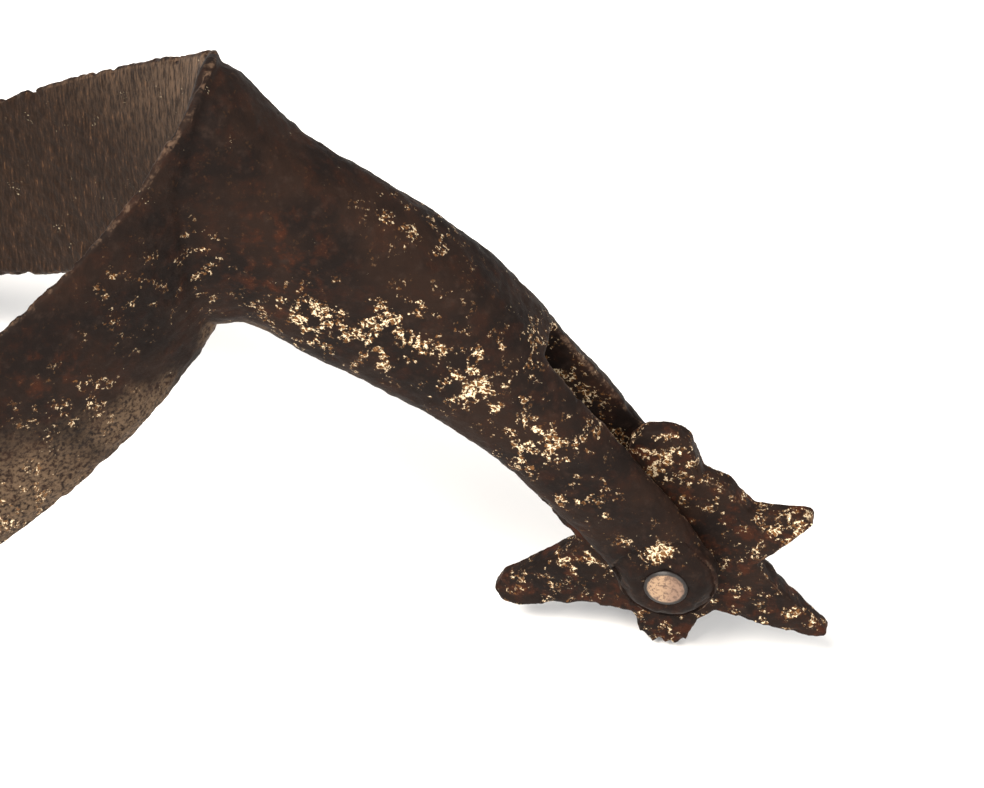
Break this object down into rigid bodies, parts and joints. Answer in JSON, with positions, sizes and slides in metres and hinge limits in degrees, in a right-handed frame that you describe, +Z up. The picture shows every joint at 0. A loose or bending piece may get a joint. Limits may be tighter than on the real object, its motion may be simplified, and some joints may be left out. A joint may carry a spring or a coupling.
{
  "type": "rowel spur",
  "caption": "Hand-forged iron spur: a peaked heel band with ringed branches, a drooping forked neck, a star rowel turning on a peened pin, and a buckle and hooks for its straps.",
  "frame": {"origin": "on the table that the spur lies on, in its middle plane, under the middle of its length", "axes": "+X rearwards to the rowel, +Y to the far side along the rowel pin (the buckle is on the near side, -Y), +Z up"},
  "size_m": [0.189, 0.0848, 0.0645],
  "materials": {
    "heel_band": "hand forged, dark brown black, pitted and rubbed",
    "neck": "hand forged, dark brown black with bright golden rubbed pits",
    "rowel_pin": "peened smooth, pale grey",
    "rowel": "filed, rusty brown with rubbed points",
    "stud_plate": "hand forged, dark brown black",
    "strap_stud": "hand forged, dark brown black",
    "near_sole_hook": "hand forged, dark brown black",
    "far_sole_hook": "hand forged, dark brown black",
    "buckle_link": "hand forged, dark brown black",
    "buckle_frame": "hand forged, dark brown black",
    "buckle_bar": "hand forged, dark brown black",
    "buckle_tongue": "hand forged, dark brown black"
  },
  "bodies": {
    "yoke": {"heel_band": "heel_band", "neck": "neck", "rowel_pin": "rowel_pin"},
    "rowel": {"rowel": "rowel"},
    "stud_plate": {"stud_plate": "stud_plate", "strap_stud": "strap_stud"},
    "near_sole_hook": {"near_sole_hook": "near_sole_hook"},
    "far_sole_hook": {"far_sole_hook": "far_sole_hook"},
    "buckle_link": {"buckle_link": "buckle_link"},
    "buckle": {"buckle_frame": "buckle_frame", "buckle_bar": "buckle_bar"},
    "tongue": {"buckle_tongue": "buckle_tongue"}
  },
  "joints": [
    {"name": "rowel_spin", "type": "hinge", "parent": "yoke", "child": "rowel", "pos_m": [0.07826, 0, 0.01265], "axis": [0, 1, 0], "continuous": true},
    {"name": "stud_plate_swing", "type": "hinge", "parent": "yoke", "child": "stud_plate", "pos_m": [-0.05824, 0.03555, 0.01905], "axis": [0, 1, 0], "range_deg": [-12, 110]},
    {"name": "near_sole_hook_swing", "type": "hinge", "parent": "yoke", "child": "near_sole_hook", "pos_m": [-0.05824, -0.03555, 0.00906], "axis": [0, 1, 0], "range_deg": [-60, 25]},
    {"name": "far_sole_hook_swing", "type": "hinge", "parent": "yoke", "child": "far_sole_hook", "pos_m": [-0.05824, 0.03555, 0.00906], "axis": [0, 1, 0], "range_deg": [-60, 25]},
    {"name": "buckle_link_swing", "type": "hinge", "parent": "yoke", "child": "buckle_link", "pos_m": [-0.05824, -0.03555, 0.01905], "axis": [0, 1, 0], "range_deg": [-12, 110]},
    {"name": "buckle_swing", "type": "hinge", "parent": "buckle_link", "child": "buckle", "pos_m": [-0.07641, -0.03835, 0.01351], "axis": [-0.2919, 0, 0.9564], "range_deg": [-80, 90]},
    {"name": "tongue_swing", "type": "hinge", "parent": "buckle", "child": "tongue", "pos_m": [-0.07641, -0.03835, 0.01351], "axis": [-0.2919, 0, 0.9564], "range_deg": [0, 110]}
  ]
}
